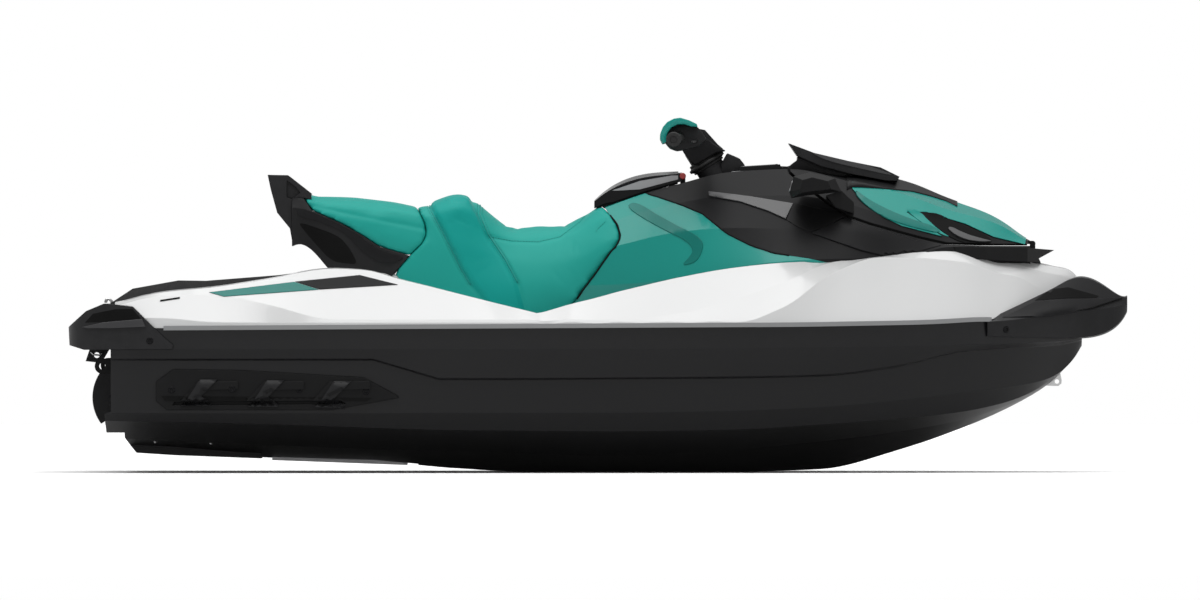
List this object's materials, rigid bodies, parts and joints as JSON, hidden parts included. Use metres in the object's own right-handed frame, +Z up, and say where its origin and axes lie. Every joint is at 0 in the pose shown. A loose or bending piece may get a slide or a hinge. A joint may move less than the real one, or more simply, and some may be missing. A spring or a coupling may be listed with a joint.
{
  "type": "personal watercraft",
  "caption": "Sit-down personal watercraft with stepped seat, handlebar, opening hood, sponsons and a steerable jet pump with reversing bucket.",
  "frame": {"origin": "floor under the keel pad, at mid length and mid beam", "axes": "+X to the bow, +Y to port, +Z up"},
  "size_m": [3.318, 1.2508, 1.113],
  "materials": {
    "hull_black": "deep gloss black gelcoat",
    "deck_white": "gloss white gelcoat",
    "bumper_black": "satin black moulded bumper",
    "rail_grey": "light grey extruded rub strip",
    "panel_teal": "gloss teal body panel",
    "seat_teal": "grained teal marine vinyl",
    "seat_black": "grained black moulding",
    "console_black": "satin-gloss black moulding",
    "trim_black": "matte black moulding",
    "lid_black": "piano black lid",
    "mat_grey": "grooved foam traction mat",
    "rubber_black": "soft black rubber",
    "steel": "polished stainless steel",
    "pump_metal": "cast aluminium",
    "mirror_glass": "silvered mirror glass",
    "engine_metal": "cast engine block"
  },
  "bodies": {
    "craft": {"hull": "hull_black", "deck": "deck_white", "stern_bumper": "bumper_black", "bow_bumper": "bumper_black", "rub_rail": "rail_grey", "sponson_starboard": "bumper_black", "sponson_port": "bumper_black", "engine": "engine_metal", "seat_front": "seat_teal", "seat_rear": "seat_teal", "seat_tail": "seat_black", "grab_handle": "seat_black", "knee_panel": "panel_teal", "console": "console_black", "steering_socket": "trim_black", "instrument": "lid_black", "nose_trim": "trim_black", "platform_mat": "mat_grey", "footwell_mats": "mat_grey", "bow_eye": "steel", "tow_hook": "trim_black", "stern_eyes": "steel", "drain_plugs": "trim_black", "pump_housing": "pump_metal", "ride_plate": "trim_black", "intake_grate": "pump_metal", "lid_hinge": "trim_black"},
    "steering": {"steering_riser": "trim_black", "steering_column": "steel", "handlebar": "steel", "grips": "rubber_black", "switch_pods": "trim_black", "levers": "trim_black", "palm_rests": "panel_teal"},
    "nozzle": {"steering_nozzle": "trim_black"},
    "impeller": {"impeller": "steel"},
    "bucket": {"reverse_bucket": "trim_black"},
    "hood": {"hood_shell": "console_black", "hood_insert": "panel_teal", "visor": "trim_black", "mirror_housings": "trim_black", "mirror_glasses": "mirror_glass"},
    "glovebox": {"glovebox_lid": "lid_black"}
  },
  "joints": [
    {"name": "steering_turn", "type": "hinge", "parent": "craft", "child": "steering", "pos_m": [0.35171, 0, 0.94939], "axis": [-0.5299, 0, 0.848], "range_deg": [-27, 27]},
    {"name": "nozzle_turn", "type": "hinge", "parent": "craft", "child": "nozzle", "pos_m": [-1.40776, 0, 0.235], "axis": [0, 0, 1], "range_deg": [-21, 21]},
    {"name": "impeller_spin", "type": "hinge", "parent": "craft", "child": "impeller", "pos_m": [-1.16176, 0, 0.235], "axis": [1, 0, 0], "continuous": true},
    {"name": "bucket_tilt", "type": "hinge", "parent": "craft", "child": "bucket", "pos_m": [-1.45264, 0, 0.235], "axis": [0, 1, 0], "range_deg": [-40, 65]},
    {"name": "hood_open", "type": "hinge", "parent": "craft", "child": "hood", "pos_m": [1.36204, 0, 0.718], "axis": [0, 1, 0], "range_deg": [0, 50]},
    {"name": "glovebox_open", "type": "hinge", "parent": "craft", "child": "glovebox", "pos_m": [0.26212, 0, 0.93002], "axis": [0, 1, 0], "range_deg": [0, 50]}
  ],
  "couplings": [
    {"joint": "nozzle_turn", "follows": "steering_turn", "ratio": -0.75}
  ]
}
